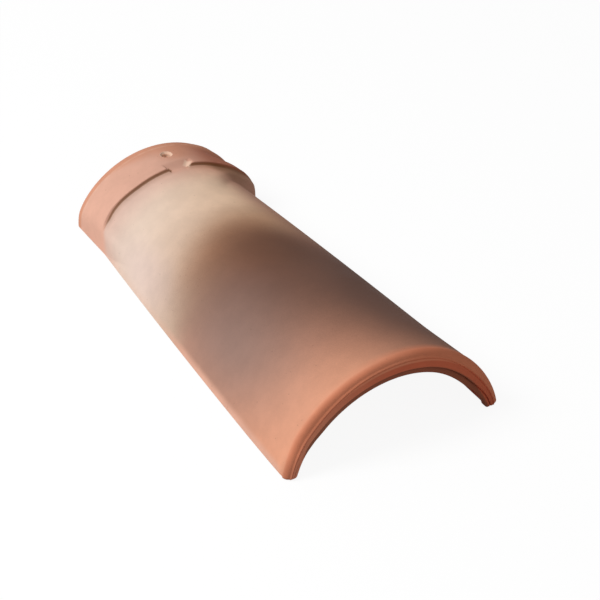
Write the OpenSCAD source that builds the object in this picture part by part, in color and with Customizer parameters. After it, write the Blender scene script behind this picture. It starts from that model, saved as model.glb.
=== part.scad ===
// Hip tile: a tapered half-round roofing tile in fired clay, one piece.
// The wide plain tail points to -Y, the narrow collared head to +Y, the bed edges lie on Z = 0.

/* [Body] */
// Overall length from the tail crown to the head
tile_length = 400; // [250:1:520]
// Width of the body over the bed edges at the tail
tail_width = 199; // [140:0.5:300]
// Height of the body crown at the tail, without the lifted rim
tail_rise = 74; // [50:0.5:120]
// Width of the body over the bed edges at the head, without the collar
head_width = 151; // [110:0.5:260]
// Wall of the body
wall = 13.5; // [9:0.5:20]

/* [Tail rim] */
// Lift of the centre of the tail rim over the axis of the body
rim_lift = 6; // [1:0.5:12]
// Flare of the tail rim over the body at the bed edges
rim_flare = 0.5; // [0.2:0.1:3]
// Length along the crown over which the lifted rim runs out into the body
rim_length = 100; // [40:1:160]
// Rounding of the outer tail edge
tail_round = 5; // [2:0.5:8]
// Wall of the tail lip under the taper of the body
lip_wall = 16; // [11:0.5:22]
// Length of the tail lip along the tile
lip_length = 6; // [4:0.5:24]
// Width of the rebate in the inner tail edge
rebate_width = 6; // [2:0.5:8]
// Depth of the rebate in the inner tail edge
rebate_depth = 2; // [1:0.25:3.5]

/* [Collar] */
// Length of the raised collar band at the head
collar_length = 46.5; // [30:0.5:80]
// Height of the collar above the body
collar_height = 9; // [6:0.5:12]
// Rounding of the crest of the collar
crest_round = 1.5; // [0.5:0.25:3]
// Run of the steep front face of the collar
step_run = 1.2; // [0.4:0.1:3]
// Height of the soft swell in front of the steep face
swell_height = 4.5; // [1:0.25:5]
// Run of the soft swell down to the body
swell_run = 40; // [10:1:60]
// Angle from the crown to the end of the steep face on each flank
step_angle = 52; // [30:1:62]
// Lead of the flank crest ahead of the steep face
flank_lead = 5.5; // [2:0.5:12]
// Run of the flank ramp down to the body
flank_ramp = 11; // [8:0.5:30]
// Drop of the flank crest under the band
flank_drop = 0.4; // [0.2:0.1:3]
// Run of the sloped outer head edge
head_slope_run = 9; // [3:0.5:14]
// Drop of the sloped outer head edge
head_slope_drop = 1.4; // [0.5:0.1:4]
// Rounding of the outer head edge
head_round = 1.6; // [0.8:0.1:4]

/* [Crown notch] */
// Width of the gap in the steep face at the crown
notch_width = 15; // [8:0.5:24]
// Spread of each sloped end of the steep face
notch_spread = 6; // [3:0.5:14]
// Length behind the crest over which the notch floor climbs to the band
notch_climb = 10; // [6:0.5:24]

/* [Nail hole] */
// Diameter of the nail hole
nail_hole_d = 8; // [4:0.25:10]
// Diameter of the sunk mouth of the nail hole
nail_sink_d = 11.5; // [10.5:0.25:16]
// Distance of the nail hole from the head edge
nail_hole_inset = 25.5; // [14:0.5:32]

/* [Socket] */
// Clearance over the collar of the tile below
socket_clearance = 3; // [0.5:0.25:4]
// Run of the sloped ends of the socket
socket_slope = 4; // [2:0.5:10]
// Least wall over the socket
socket_roof = 6; // [4:0.5:12]

/* [Bed edges] */
// Bevel along the outer bed edges
bed_bevel_outer = 1; // [0.5:0.25:5]
// Bevel along the inner bed edges
bed_bevel_inner = 2.5; // [1:0.5:4]

/* [Hidden] */
$fn = 96;

// Circular section through the bed edges, shrinking evenly towards the head
tail_r = (tail_width * tail_width / 4 + tail_rise * tail_rise) / (2 * tail_rise);
tail_drop = tail_r - tail_rise;
shrink = head_width / tail_width;
head_r = tail_r * shrink;
head_drop = tail_drop * shrink;
axis_tilt = asin((tail_drop - head_drop) / tile_length);

// Lifted circle of the tail rim, which meets the body at the bed edges
rim_r = sqrt(pow(tail_width / 2, 2) + pow(tail_drop - rim_lift, 2)) + rim_flare;

// Length along the tilted axis that gives the overall length on the level bed
face_r = rim_lift + rim_r - tail_round;
tail_lean = face_r * sin(axis_tilt) + tail_round * (1 - cos(axis_tilt));
axis_length = cos(axis_tilt) * (tile_length + tail_drop * tan(axis_tilt) - tail_lean);
tail_shift = tail_lean - tile_length / 2;

// Places along the axis
crest_s = axis_length - collar_length;
steep_foot_s = crest_s - step_run;
swell_foot_s = steep_foot_s - swell_run;
flank_crest_s = crest_s - flank_lead;
flank_foot_s = flank_crest_s - flank_ramp;
head_slope_s = axis_length - head_slope_run;
socket_start_s = lip_length + socket_slope;
socket_end_s = socket_start_s + collar_length + socket_clearance;
body_inner_s = socket_end_s + socket_slope;

// Outer radius of the plain body at a place along the axis
function body_r(s) = tail_r - (tail_r - head_r) * s / axis_length;
collar_crest_r = body_r(crest_s) + collar_height;
socket_r = collar_crest_r + socket_clearance;
lip_r = tail_r - lip_wall;
rim_slope = (rim_lift + rim_r - body_r(rim_length)) / rim_length;
rim_end_s = rim_length + wall;
flank_height = collar_height - flank_drop;
flank_slope = (flank_height + body_r(flank_crest_s) - body_r(flank_foot_s)) / flank_ramp;
swell_top_r = body_r(steep_foot_s) + swell_height;
notch_rise = collar_height - swell_height;

// Corners of the outer profile at the collar
swell_foot = [body_r(swell_foot_s), swell_foot_s];
steep_foot = [swell_top_r, steep_foot_s];
crest = [collar_crest_r, crest_s];
head_slope = [body_r(head_slope_s) + collar_height, head_slope_s];
head_edge = [body_r(axis_length) + collar_height - head_slope_drop, axis_length];
head_centre = [0, axis_length];

// Rounded corner between two straight edges: its half angle, run along the edges and centre
function unit(v) = v / norm(v);
function half_angle(a, b, c) = acos(unit(a - b) * unit(c - b)) / 2;
function round_run(a, b, c, r) = r / tan(half_angle(a, b, c));
function round_centre(a, b, c, r) = b + unit(unit(a - b) + unit(c - b)) * r / sin(half_angle(a, b, c));
function before(a, b, c, r) = b + unit(a - b) * round_run(a, b, c, r);
function after(a, b, c, r) = b + unit(c - b) * round_run(a, b, c, r);

// Sizes of the cutting blocks
big = 4 * (tile_length + tail_width);
root_depth = wall / 4;

// Curved part of a rounded corner
module corner_round(a, b, c, r) {
    intersection() {
        translate(round_centre(a, b, c, r))
            circle(r = r);
        polygon([before(a, b, c, r), b, after(a, b, c, r)]);
    }
}

// Half section of the outer form with the steep collar all round
module outer_section() {
    polygon([
        [0, tail_round],
        [body_r(tail_round), tail_round],
        swell_foot,
        steep_foot,
        before(steep_foot, crest, head_slope, crest_round),
        after(steep_foot, crest, head_slope, crest_round),
        head_slope,
        before(head_slope, head_edge, head_centre, head_round),
        after(head_slope, head_edge, head_centre, head_round),
        head_centre
    ]);
    corner_round(steep_foot, crest, head_slope, crest_round);
    corner_round(head_slope, head_edge, head_centre, head_round);
}

// Half section of the lifted tail rim, about its own centre
module rim_section() {
    polygon([
        [0, 0],
        [rim_r - tail_round, 0],
        [rim_r, tail_round],
        [rim_r - rim_slope * (rim_end_s - tail_round), rim_end_s],
        [0, rim_end_s]
    ]);
    // Rounded outer edge of the tail
    intersection() {
        translate([rim_r - tail_round, tail_round])
            circle(r = tail_round);
        translate([rim_r - tail_round, 0])
            square([tail_round, tail_round]);
    }
}

// Half section of the least wall over the socket, which shows outside only where the collar is wide for the tail
module roof_section() {
    polygon([
        [0, tail_round],
        [socket_r + socket_roof, tail_round],
        [socket_r + socket_roof, socket_end_s],
        [body_r(body_inner_s) - root_depth, body_inner_s],
        [0, body_inner_s]
    ]);
}

// Half section of the hollow: rebate, lip, socket for the collar of the next tile, and the arch
module hollow_section() {
    polygon([
        [0, -wall],
        [lip_r + rebate_width, -wall],
        [lip_r + rebate_width, rebate_depth],
        [lip_r, rebate_depth],
        [lip_r, lip_length],
        [socket_r, socket_start_s],
        [socket_r, socket_end_s],
        [body_r(body_inner_s) - wall, body_inner_s],
        [body_r(axis_length + wall) - wall, axis_length + wall],
        [0, axis_length + wall]
    ]);
}

// Section of the ramp that leads up to the collar on the flanks
module flank_section() {
    polygon([
        [body_r(flank_foot_s) - root_depth, flank_foot_s - root_depth / flank_slope],
        [body_r(flank_crest_s) + flank_height, flank_crest_s],
        [body_r(crest_s + flank_lead) + flank_height, crest_s + flank_lead],
        [body_r(crest_s) - root_depth, crest_s + flank_lead]
    ]);
}

// One flank ramp, from the end of the steep face down past the bed
module flank_ramp_right() {
    rotate([0, 0, step_angle - 90])
        rotate_extrude(angle = 100 - step_angle)
            flank_section();
}

// Notch through the steep face at the crown, with a climbing floor and sloped sides
module crown_notch() {
    floor_rise = body_r(crest_s + notch_climb) + collar_height - swell_top_r;
    floor_run = crest_s + notch_climb - steep_foot_s;
    floor_angle = atan(floor_rise / floor_run);
    depth = 2 * collar_height;
    spread = notch_spread * depth / notch_rise;
    translate([0, -swell_top_r, steep_foot_s])
        rotate([floor_angle, 0, 0])
            linear_extrude(height = 3 * floor_run)
                polygon([
                    [-notch_width / 2, 0],
                    [notch_width / 2, 0],
                    [notch_width / 2 + spread, -depth],
                    [-notch_width / 2 - spread, -depth]
                ]);
}

// Straight bevel along a pair of bed edges that lie a step outside the plain body
module bed_bevel(step, size) {
    half_tail = sqrt(pow(tail_r + step, 2) - pow(tail_drop, 2));
    half_head = sqrt(pow(head_r + step, 2) - pow(head_drop, 2));
    turn = atan((half_tail - half_head) / tile_length);
    side = size * sqrt(2);
    for (hand = [0, 1])
        mirror([hand, 0, 0])
            translate([(half_tail + half_head) / 2, 0, 0])
                rotate([0, 0, turn])
                    rotate([0, 45, 0])
                        cube([side, big, side], center = true);
}

// Upright flanks of the collar, from the foot of the swell to the head, as wide as the body at that foot
module collar_flanks() {
    foot_y = tail_shift + swell_foot_s * cos(axis_tilt);
    foot_half = tail_width / 2 * body_r(swell_foot_s) / tail_r;
    for (hand = [0, 1])
        mirror([hand, 0, 0])
            translate([foot_half, foot_y, -tail_rise])
                cube([tail_width, tile_length, 3 * tail_r]);
}

// Nail hole through the collar at the crown, with a sunk mouth
module nail_hole() {
    hole_s = axis_length - nail_hole_inset;
    crown_z = (body_r(hole_s) + collar_height) * cos(axis_tilt) + hole_s * sin(axis_tilt) - tail_drop;
    sink = nail_sink_d - nail_hole_d;
    translate([0, tile_length / 2 - nail_hole_inset, 0]) {
        cylinder(h = 2 * tail_r, d = nail_hole_d);
        translate([0, 0, crown_z - 0.6 * sink])
            cylinder(h = 1.8 * sink, d1 = nail_hole_d, d2 = nail_hole_d + 3 * sink);
    }
}

// Turn the axis from up to along the tile, tilt it and set the tail on the bed
module on_bed() {
    translate([0, tail_shift, -tail_drop])
        rotate([axis_tilt, 0, 0])
            rotate([-90, 0, 0])
                children();
}

module hip_tile() {
    color("#b4714f")
    difference() {
        on_bed()
            difference() {
                union() {
                    rotate_extrude()
                        outer_section();
                    translate([0, -rim_lift, 0])
                        rotate_extrude()
                            rim_section();
                    rotate_extrude()
                        roof_section();
                    flank_ramp_right();
                    mirror([1, 0, 0])
                        flank_ramp_right();
                }
                rotate_extrude()
                    hollow_section();
                crown_notch();
            }
        nail_hole();
        collar_flanks();
        // Level bed
        translate([-big / 2, -big / 2, -big])
            cube([big, big, big]);
        bed_bevel(0, bed_bevel_outer);
        bed_bevel(-wall, bed_bevel_inner);
    }
}

hip_tile();
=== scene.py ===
import math
from collections import namedtuple

import bpy
import numpy as np
from mathutils import Matrix, Vector


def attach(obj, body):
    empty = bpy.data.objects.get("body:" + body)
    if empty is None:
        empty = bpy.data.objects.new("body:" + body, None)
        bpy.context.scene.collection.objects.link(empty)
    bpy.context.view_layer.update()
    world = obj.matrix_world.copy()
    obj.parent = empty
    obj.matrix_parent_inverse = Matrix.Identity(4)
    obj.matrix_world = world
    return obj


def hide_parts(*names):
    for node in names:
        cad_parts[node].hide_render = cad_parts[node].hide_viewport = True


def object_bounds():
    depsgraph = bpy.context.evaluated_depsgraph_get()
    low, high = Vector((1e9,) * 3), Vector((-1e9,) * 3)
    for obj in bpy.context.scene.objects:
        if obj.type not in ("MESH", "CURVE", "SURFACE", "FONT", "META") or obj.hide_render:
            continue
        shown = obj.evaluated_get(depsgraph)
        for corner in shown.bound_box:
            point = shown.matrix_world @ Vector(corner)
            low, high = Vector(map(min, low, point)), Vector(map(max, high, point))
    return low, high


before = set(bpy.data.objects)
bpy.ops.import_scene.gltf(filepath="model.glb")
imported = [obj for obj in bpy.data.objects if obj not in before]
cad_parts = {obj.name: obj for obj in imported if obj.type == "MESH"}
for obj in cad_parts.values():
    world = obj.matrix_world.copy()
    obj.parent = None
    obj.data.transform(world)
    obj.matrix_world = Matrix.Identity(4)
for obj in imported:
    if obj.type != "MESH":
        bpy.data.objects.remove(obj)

bl_info = {
    "name": "Flamed hip tile",
    "version": (1, 0, 0),
    "blender": (4, 5, 0),
    "location": "View3D > Sidebar > Hip tile",
    "description": "Pressed clay hip tile with a sprayed engobe finish, and a pale studio to show it in",
    "category": "Object",
}

TILE_NODE = "hip_tile"
CAD_LOW, CAD_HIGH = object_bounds()
MM = 0.001


# Kinds of settings that a user may change

def setting(kind, **fixed):
    def make(name, description, default):
        return kind(name=name, description=description, default=default, **fixed)

    return make


amount = setting(bpy.props.FloatProperty)
length = setting(bpy.props.FloatProperty, unit="LENGTH", precision=5)
angle = setting(bpy.props.FloatProperty, subtype="ANGLE")
spot = setting(bpy.props.FloatVectorProperty, subtype="XYZ")
colour = setting(bpy.props.FloatVectorProperty, subtype="COLOR", size=3, min=0.0, max=1.0)


class HipTileShape(bpy.types.PropertyGroup):
    """Sizes of the pressed tile"""

    tile_length: length("Length", "Overall length from the tail crown to the head", CAD_HIGH.y - CAD_LOW.y)
    tail_width: length("Tail width", "Width of the body over the bed edges at the tail", 0.199)
    tail_rise: length("Tail rise", "Height of the body crown at the tail, without the rim", 0.074)
    head_width: length("Head width", "Width of the body over the bed edges at the head", 0.149)
    wall: length("Wall", "Wall of the body", 0.0135)
    belly: length("Belly", "Outward bow of the body halfway along", 0.002)
    rim_lift: length("Rim lift", "Lift of the centre of the tail rim over the body axis", 0.006)
    rim_flare: length("Rim flare", "Flare of the tail rim at the bed edges", 0.0005)
    rim_length: length("Rim length", "Length over which the lifted rim runs out on the crown", 0.1)
    tail_round: length("Tail rounding", "Depth of the rounded outer tail edge across the wall", 0.005)
    flank_round: length("Flank rounding", "Further depth of the rounded tail edge on the flanks", 0.0013)
    tail_round_run: length("Tail rounding run", "Run of the rounded outer tail edge along the tile", 0.005)
    land: length("Parting land", "Depth of the narrow land between the rounded edge and the face", 0.0011)
    lip_wall: length("Lip wall", "Wall of the tail lip under the taper of the body", 0.016)
    lip_flare: length("Lip flare", "Widening of the lip opening towards the bed edges", 0.004)
    left_flare: length("Left flare", "Further widening of the lip opening at the left tip", 0.0035)
    lip_length: length("Lip length", "Length of the tail lip", 0.006)
    rebate_width: length("Rebate width", "Width of the rebate in the inner tail edge", 0.006)
    rebate_depth: length("Rebate depth", "Depth of the rebate in the inner tail edge", 0.002)
    collar_length: length("Collar length", "Length of the raised collar band", 0.0465)
    band_radius: length("Band radius", "Radius of the collar band at the head", 0.0881)
    band_spread: length("Band spread", "Growth of the band radius from the head to the crest", 0.0027)
    flank_spread: length("Flank spread", "Further growth of the band on the flanks towards the crest", 0.003)
    collar_width: length("Collar width", "Width over the upright flanks of the collar", 0.158)
    head_slope_run: length("Head slope run", "Run of the sloped outer head edge", 0.009)
    head_slope_drop: length("Head slope drop", "Drop of the sloped outer head edge", 0.0014)
    head_round: length("Head rounding", "Radius of the outer head edge", 0.0016)
    dent_depth: length("Dent depth", "Depth of the shallow dent in the right of the collar band", 0.0027)
    dent_place: length("Dent place", "Distance of the dent from the crest of the collar", 0.024)
    dent_reach: length("Dent reach", "Reach of the dent each way along the tile", 0.014)
    step_height: length("Step height", "Height of the steep step at the crown, over the soft swell", 0.0045)
    swell_run: length("Swell run", "Run of the soft swell ahead of the step at the crown", 0.05)
    crest_lag: length("Crest lag", "How far the crest curves towards the tail on the left flank", 0.0055)
    flank_run: length("Flank run", "Run of the ramp in place of the step on the right flank", 0.0128)
    flank_lead: length("Flank lead", "How much earlier the right ramp starts low on the flank", 0.002)
    left_run: length("Left run", "Run of the gentle ramp on the left flank", 0.062)
    notch_width: length("Notch width", "Width of the gap in the step at its foot", 0.015)
    notch_spread: length("Notch spread", "Spread of the sloped right end of the step", 0.006)
    notch_left: length("Notch left spread", "Spread of the steeper left end of the step", 0.003)
    notch_climb: length("Notch climb", "Length behind the crest over which the notch floor climbs", 0.0115)
    hole_diameter: length("Nail hole", "Diameter of the nail hole", 0.008)
    sink_diameter: length("Nail sink", "Diameter of the sunk mouth of the nail hole", 0.0115)
    hole_inset: length("Nail hole inset", "Distance of the nail hole from the head edge", 0.0255)
    socket_clearance: length("Socket clearance", "Clearance over the collar of the next tile", 0.003)
    socket_slope: length("Socket slope", "Run of the sloped ends of the socket", 0.004)
    bed_round: length("Bed rounding", "Rounding of the bed edges", 0.0009)
    tip_round: length("Tip rounding", "Further rounding of the bed edges at the tail tips", 0.0028)
    right_reach: length("Right tip reach", "How far the right tip reaches past the tail crown", 0.006)
    left_reach: length("Left tip reach", "How far the left tip reaches past the tail crown", 0.0055)
    tip_run: length("Tip run", "Run over which the reach of the tips fades along the tile", 0.06)


class HipTileFinish(bpy.types.PropertyGroup):
    """Colours of the clay, of the sprayed engobes, and of the painted shade and highlights"""

    raw_clay: colour("Raw clay", "Fired clay of the tail face and the arch", (0.590, 0.136, 0.066))
    dry_bloom: colour("Dry bloom", "Paler dry clay on the outer skin at the tail", (0.790, 0.365, 0.226))
    band_pink: colour("Band", "Pale pink clay of the collar band", (0.725, 0.408, 0.303))
    # Partly the clay's own red and partly painted shade on the right of the band, which faces away from the
    # lamp
    band_red_and_shade: colour("Band, right", "Redder clay on the right of the collar band", (0.455, 0.165, 0.100))
    # Partly the clay's own red and partly painted shade on the right of the rim and on its rounded edge,
    # which turn away from the lamp
    rim_red_and_shade: colour("Rim, right", "Redder clay on the right of the tail rim", (0.700, 0.225, 0.118))
    # The engobes from cream to shade, apart from rose, come from the same fit as the spray passes;
    # warm, brown and shade were then changed a little
    cream: colour("Cream", "Cream engobe below the collar", (0.905, 0.617, 0.418))
    pale: colour("Pale", "Pale dust over the cream on the left flank", (0.646, 0.570, 0.522))
    rose: colour("Rose", "Rosy dust over the cream near the left bed edge", (0.735, 0.570, 0.520))
    warm: colour("Warm", "Warm tan on the right flank", (0.580, 0.315, 0.222))
    tan: colour("Tan", "Tan halo between the cream and the brown", (0.516, 0.274, 0.153))
    brown: colour("Brown", "Brown engobe across the middle", (0.200, 0.096, 0.065))
    # Dark brown also paints shade into the groove at the step of the rebate
    heart: colour("Dark brown", "Darkest brown at the crown", (0.167, 0.077, 0.048))
    grey: colour("Grey brown", "Grey brown on the left flank", (0.231, 0.179, 0.165))
    # Shade is partly engobe and partly painted shade on the right flank, which faces away from the lamp
    shade: colour("Shade brown", "Dark grey brown on the right flank", (0.118, 0.066, 0.053))
    # The lip colour also paints shade on the left tip of the tail
    lip_brown: colour("Lip", "Darker clay on the inner lip of the tail", (0.225, 0.078, 0.044))
    head_edge: colour("Head edge", "Orange clay along the head edge", (0.640, 0.270, 0.160))
    bed_edge: colour("Bed edge", "Bare strip along the bed edges", (0.730, 0.410, 0.300))
    # Painted highlight at the right end of the gap, in the mouth of the nail hole and along the start of the
    # head slope
    painted_highlight: colour("Highlight", "Pale worn clay at the gap and in the nail hole", (0.860, 0.600, 0.450))
    # Painted shade: brown on the ramp of the right flank, which faces away from the lamp
    ramp: colour("Ramp brown", "Brown on the ramp of the right flank", (0.260, 0.130, 0.065))
    # Painted shade along the foot of the step and at the left end of the gap
    step_and_gap_shade: colour("Crease", "Engobe pooled along the foot of the step", (0.210, 0.085, 0.024))


class HipTileStage(bpy.types.PropertyGroup):
    """Camera, lamp, air and floor"""

    # Another script fitted the camera to the outline of the tile in the photograph
    azimuth: angle("Azimuth", "Turn of the camera to the left of the tail", math.radians(32.635))
    elevation: angle("Elevation", "Height of the camera over the bed", math.radians(34.557))
    roll: angle("Roll", "Turn of the camera about its line of sight", math.radians(1.984))
    distance: length("Distance", "Distance of the camera from its aim", 1.552)
    aim: spot("Aim", "Point that the camera looks at", (0.03778, 0.00088, -0.00135))
    focal_length: amount("Focal length", "Focal length in millimetres on a 36 mm sensor", 107.4)
    lamp_place: spot("Lamp place", "Place of the soft lamp, which points at the tile", (-1.5, 0.35, 1.5))
    lamp_size: length("Lamp size", "Diameter of the soft lamp", 1.0)
    lamp_power: amount("Lamp power", "Power of the soft lamp in watts", 33.0)
    air_light: amount("Air light", "Strength of the even light from all round", 0.3)
    floor_glow: amount("Floor glow", "Brightness of the floor to the camera in full shadow", 0.92)
    floor_catch: amount("Floor catch", "Share of the light on the floor that the camera sees", 0.10)
    floor_grey: amount("Floor grey", "Share of the light that the floor throws back on the tile", 0.75)


# Geometry of the tile about its tilted axis

def radians(*degrees):
    return tuple(math.radians(turn) for turn in degrees)


# Angles from the crown over which a form comes in or fades out
RIGHT_STEP_FADE = radians(42, 58)
LEFT_STEP_FADE = radians(49, 60)
RIGHT_RAMP_FADE = radians(8, 40)
LEFT_RAMP_FADE = radians(8, 48)
RAMP_LEAD_FADE = radians(46, 62)
BAND_SPREAD_FADE = radians(25, 48)
DENT_START_FADE = radians(24, 38)
DENT_END_FADE = radians(54, 70)
TAIL_ROUND_FADE = radians(15, 45)
LIP_FLARE_FADE = radians(48, 67)
LEFT_FLARE_FADE = radians(56, 71)
REBATE_FADE = radians(58, 70)
RIGHT_TIP_FADE = radians(25, 72)
LEFT_TIP_FADE = radians(52, 76)
# Angle on the left at which the crest starts to curve towards the tail, its span and its power
LAG_START, LAG_SPAN = radians(30, 27)
LAG_POWER = 2.5


class TileAxis:
    """Radii, angles and places along the axis that the tapered half round is turned about"""

    def __init__(self, shape):
        half = shape.tail_width / 2
        self.shape = shape
        self.tail_r = (half**2 + shape.tail_rise**2) / (2 * shape.tail_rise)
        self.drop = self.tail_r - shape.tail_rise
        shrink = shape.head_width / shape.tail_width
        self.head_r = self.tail_r * shrink
        self.tilt = math.asin(self.drop * (1 - shrink) / shape.tile_length)
        self.rim_r = math.hypot(half, self.drop - shape.rim_lift) + shape.rim_flare
        lean = (shape.rim_lift + self.rim_r - shape.tail_round) * math.sin(self.tilt)
        self.length = math.cos(self.tilt) * (shape.tile_length + self.drop * math.tan(self.tilt) - lean)
        self.start_y = lean - shape.tile_length / 2
        self.crest_s = self.length - shape.collar_length
        self.taper = (self.tail_r - self.head_r) / self.length
        self.face_r = self.tail_r - shape.tail_round
        self.lip_r = self.tail_r - shape.lip_wall
        self.rebate_r = self.lip_r + shape.rebate_width
        self.socket_r = shape.band_radius + shape.band_spread + shape.socket_clearance
        self.half_angle = math.acos(self.drop / self.tail_r)
        self.slope_s = self.length - shape.head_slope_run
        self.hole_y = shape.tile_length / 2 - shape.hole_inset

    def body_r(self, s):
        return self.tail_r - self.taper * s

    def place(self, s, r, theta):
        """Points in the frame of the tile"""
        up = r * np.cos(theta)
        y = self.start_y + s * math.cos(self.tilt) - up * math.sin(self.tilt)
        z = -self.drop + s * math.sin(self.tilt) + up * math.cos(self.tilt)
        return np.stack([r * np.sin(theta), y, z], axis=-1)

    def read(self, points):
        """Place along the axis, radius and angle of points in the frame of the tile"""
        y = points[:, 1] - self.start_y
        z = points[:, 2] + self.drop
        s = y * math.cos(self.tilt) + z * math.sin(self.tilt)
        up = z * math.cos(self.tilt) - y * math.sin(self.tilt)
        return s, np.hypot(points[:, 0], up), np.arctan2(points[:, 0], up)

    def bed_angle(self, s, r):
        """Angle at which a circle of radius r meets the bed"""
        return np.arccos(np.clip((self.drop - s * math.sin(self.tilt)) / (r * math.cos(self.tilt)), -1, 1))

    def crest(self, theta):
        """Place of the crest of the collar along the axis"""
        lag = np.clip((-theta - LAG_START) / LAG_SPAN, 0, 1) ** LAG_POWER
        return self.crest_s - self.shape.crest_lag * lag

    def bow(self, s):
        """Outward bow of the body along the axis"""
        along = np.clip(s / self.length, 0, 1)
        return self.shape.belly * 4 * along * (1 - along)


# Half section of the wall

# Fine edges in millimetres, as (radius, place along the axis) from the corner that they stand at
FACE_START = ((0.4, 0.0),)
FACE_GROOVE = ((-1.3, 0.4), (-0.9, 0.6), (-0.5, 0.4), (-0.2, 0.0), (0.0, 0.1))
LAND_EDGE = ((0.7, -0.15), (0.9, 0.0))
ARCH_HEAD_EDGE = ((0.45, -0.4), (0.0, -1.5))
SOCKET_HEAD_EDGE = ((-0.3, 0.6), (0.0, -0.6))
SOCKET_TAIL_EDGE = ((-0.3, -0.6),)
LIP_HEAD_EDGE = ((0.2, 0.6), (0.0, -0.6))
LIP_TAIL_EDGE = ((0.15, 0.5), (0.5, 0.15), (1.1, 0.0))
REBATE_GROOVE = ((-0.9, 0.35), (-0.4, 0.8), (-0.05, 0.5), (0.0, -0.2))
FACE_EDGE = ((0.05, 0.4),)
# Points round the outer edges at the tail and the head
TAIL_TURNS = np.radians(np.linspace(16, 90, 11))
HEAD_TURNS = np.radians(np.linspace(12, 90, 7))
# Rows of points in millimetres, as (end of the rows from a corner, step up to there)
FACE_ROWS = (-1.6, 1.5)
RIM_ROWS = (20.0, 1.5)
CREST_ROWS = ((-34.0, 4.2), (-9.0, 1.0), (1.0, 0.25), (34.0, 1.0))
HEAD_ROWS = (0.0, 1.2)
HEAD_FACE_ROWS = (1.5, 2.0)
ARCH_HEAD_ROWS = (-60.0, 2.0)
ARCH_ROWS = (0.0, 8.0)
SOCKET_ROWS = (0.6, 6.0)
LIP_ROWS = (0.8, 2.2)
REBATE_ROWS = (-1.5, 1.0)


def spread(*stops):
    """Places from stop to stop, each stop with the step up to it"""
    places = [stops[0]]
    for stop, step in stops[1:]:
        count = max(1, round(abs(stop - places[-1]) / step))
        places += list(np.linspace(places[-1], stop, count + 1)[1:])
    return places


def row_stop(corner, rows):
    """End of the rows near a corner, and the step up to it"""
    end, step = rows
    return corner + end * MM, step * MM


def add_edge(ring, edge, r, s):
    """Carries the ring on round a fine edge at the corner of radius r and place s"""
    ring += [(r + across * MM, s + along * MM) for across, along in edge]


def add_face(ring, corner_r, rows):
    """Carries the ring on across the wall"""
    r, s = ring[-1]
    ring += [(row, s) for row in spread(r, row_stop(corner_r, rows))[1:]]


def add_bore(ring, corner_s, rows):
    """Carries the ring on along the axis at one radius"""
    r, s = ring[-1]
    ring += [(r, row) for row in spread(s, row_stop(corner_s, rows))[1:]]


def add_outside(ring, axis):
    """Tail face, outer skin and head face, plain until the relief is pressed"""
    shape = axis.shape
    add_edge(ring, FACE_START, axis.rebate_r, 0.0)
    add_face(ring, axis.face_r, FACE_ROWS)
    add_edge(ring, FACE_GROOVE, axis.face_r, 0.0)
    add_edge(ring, LAND_EDGE, axis.face_r, shape.land)
    for turn in TAIL_TURNS:
        run = shape.tail_round_run * (1 - math.cos(turn))
        ring.append((axis.face_r + shape.tail_round * math.sin(turn), shape.land + run))
    rows = spread(
        shape.land + shape.tail_round_run,
        row_stop(0.0, RIM_ROWS),
        *(row_stop(axis.crest_s, rows) for rows in CREST_ROWS),
        row_stop(axis.length - shape.head_round, HEAD_ROWS),
    )
    ring += [(axis.body_r(s), s) for s in rows[1:]]
    head_r = axis.body_r(axis.length)
    for turn in HEAD_TURNS:
        run = shape.head_round * (1 - math.sin(turn))
        ring.append((head_r - shape.head_round * (1 - math.cos(turn)), axis.length - run))
    add_face(ring, head_r - shape.wall, HEAD_FACE_ROWS)


def add_inside(ring, axis):
    """Arch, socket, lip and rebate, with a fine groove along the step of the rebate"""
    shape = axis.shape
    socket_start = shape.lip_length + shape.socket_slope
    socket_end = socket_start + shape.collar_length + shape.socket_clearance
    add_edge(ring, ARCH_HEAD_EDGE, axis.body_r(axis.length) - shape.wall, axis.length)
    rows = spread(
        ring[-1][1],
        row_stop(axis.length, ARCH_HEAD_ROWS),
        row_stop(socket_end + shape.socket_slope, ARCH_ROWS),
    )
    ring += [(axis.body_r(s) - shape.wall, s) for s in rows[1:]]
    add_edge(ring, SOCKET_HEAD_EDGE, axis.socket_r, socket_end)
    add_bore(ring, socket_start, SOCKET_ROWS)
    add_edge(ring, SOCKET_TAIL_EDGE, axis.socket_r, socket_start)
    add_edge(ring, LIP_HEAD_EDGE, axis.lip_r, shape.lip_length)
    add_bore(ring, shape.rebate_depth, LIP_ROWS)
    add_edge(ring, LIP_TAIL_EDGE, axis.lip_r, shape.rebate_depth)
    add_face(ring, axis.rebate_r, REBATE_ROWS)
    add_edge(ring, REBATE_GROOVE, axis.rebate_r, shape.rebate_depth)
    add_edge(ring, FACE_EDGE, axis.rebate_r, 0.0)


def tile_section(axis):
    """Closed half section as (radius, place along the axis), from the tail round the head and back"""
    ring = []
    add_outside(ring, axis)
    add_inside(ring, axis)
    return ring


# Relief that is pressed into the plain wall

# Runs ahead of the crest in millimetres, and the share of the step height there
STEEP_STEP = (
    (0.0, 1.0), (0.25, 0.98), (0.5, 0.91), (0.8, 0.72), (1.1, 0.50), (1.5, 0.34),
    (2.1, 0.22), (3.0, 0.12), (4.2, 0.05), (6.0, 0.0),
)
# Shares of the ramp's run ahead of the crest, and the share of the ramp height there
SOFT_RAMP = ((0.0, 1.0), (0.25, 0.985), (0.42, 0.93), (0.55, 0.80), (0.88, 0.11), (0.95, 0.03), (1.0, 0.0))
# Floor of the gap: its start ahead of the crest, and its climb and most side height in step heights
GAP_FOOT = 1.0 * MM
GAP_CLIMB = 1.3
GAP_SIDE = 2.0
# Rounding of the edges of the gap in step heights, and how fast it comes in with the step
GAP_BLEND = 0.06
GAP_BLEND_RATE = 4.0
# Share of the head slope that is lost beside the dent
DENT_SLOPE_LOSS = 0.8
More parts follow.
